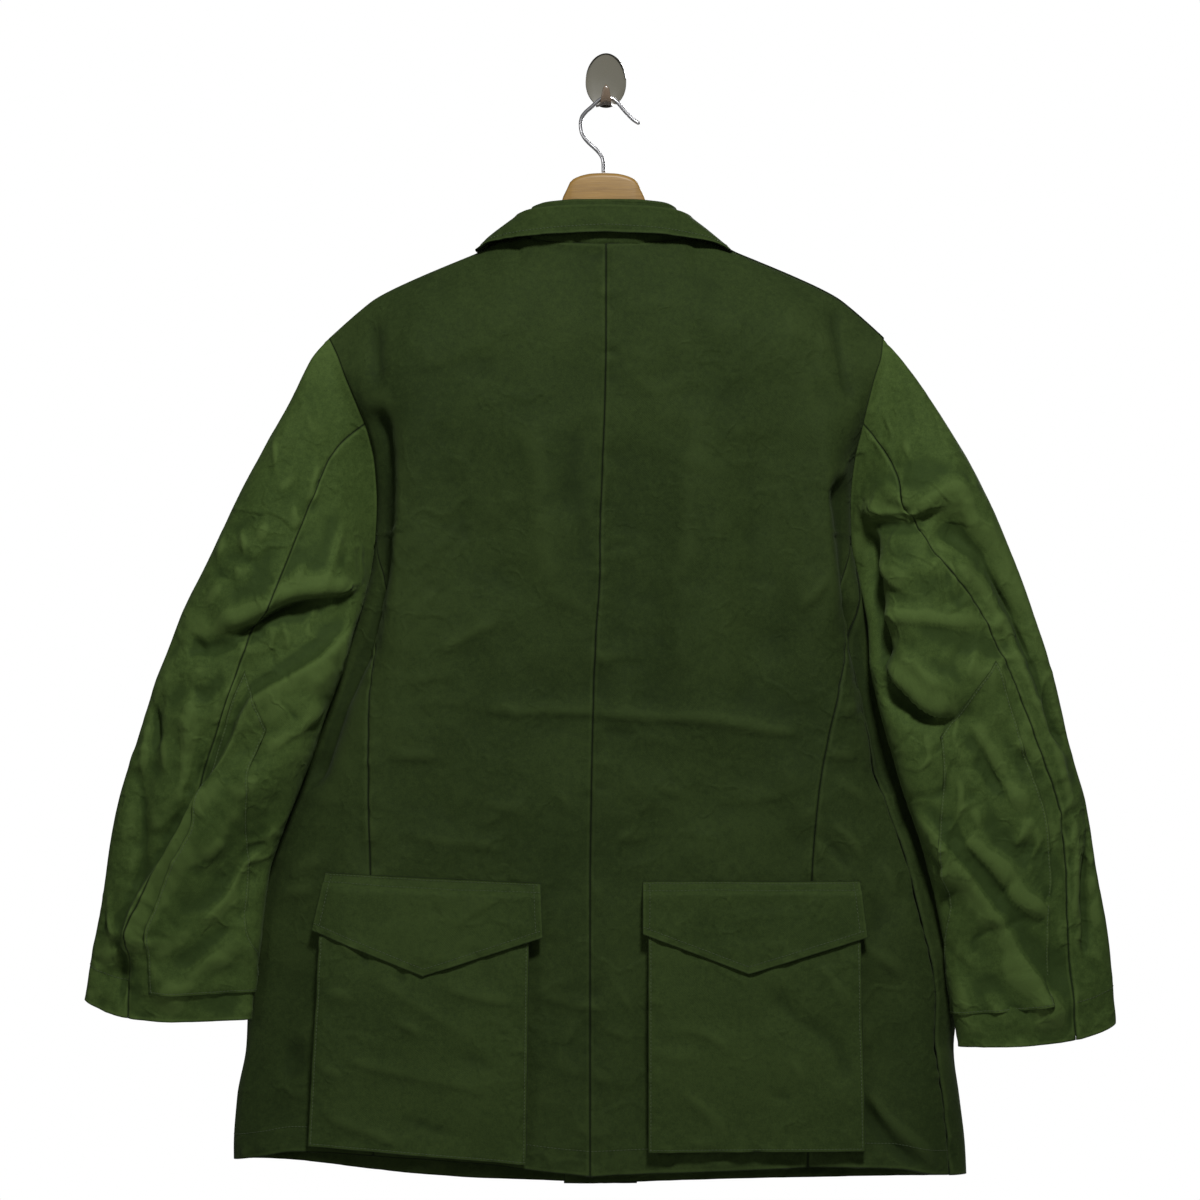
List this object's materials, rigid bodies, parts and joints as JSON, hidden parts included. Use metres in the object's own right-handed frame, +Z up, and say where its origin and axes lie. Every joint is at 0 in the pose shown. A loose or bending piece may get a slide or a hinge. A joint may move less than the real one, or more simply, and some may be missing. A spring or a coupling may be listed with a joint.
{
  "type": "army field jacket on a wooden hanger and wall hook",
  "caption": "Green cotton army field jacket hung from a wall hook on a wooden hanger, seen from its back, with bellows pockets and elbow patches.",
  "frame": {"origin": "the centre of the wall hook's plate, on its flat back face, where the wall holds it", "axes": "+Y into the wall, +Z up, +X to the right of someone who looks at the jacket's back"},
  "size_m": [0.909, 0.0959, 1.0038],
  "materials": {
    "cloth": "matt cotton sateen with a faint sheen",
    "button": "satin",
    "wood": "clear lacquer",
    "wire": "polished",
    "plastic": "glossy"
  },
  "bodies": {
    "root": {"back_left": "cloth", "back_right": "cloth", "side_back_left": "cloth", "side_back_right": "cloth", "front_left": "cloth", "front_right": "cloth", "collar_stand": "cloth", "collar_fall": "cloth", "sleeve_left_top": "cloth", "sleeve_left_under": "cloth", "sleeve_right_top": "cloth", "sleeve_right_under": "cloth", "elbow_patch_left": "cloth", "elbow_patch_right": "cloth", "pocket_left": "cloth", "pocket_right": "cloth", "pocket_gusset_left": "cloth", "pocket_gusset_right": "cloth", "flap_left": "cloth", "flap_right": "cloth", "button_1": "button", "button_2": "button", "button_3": "button", "button_4": "button", "button_5": "button", "hanger_body": "wood", "hanger_hook": "wire", "wall_hook": "plastic"}
  },
  "joints": []
}
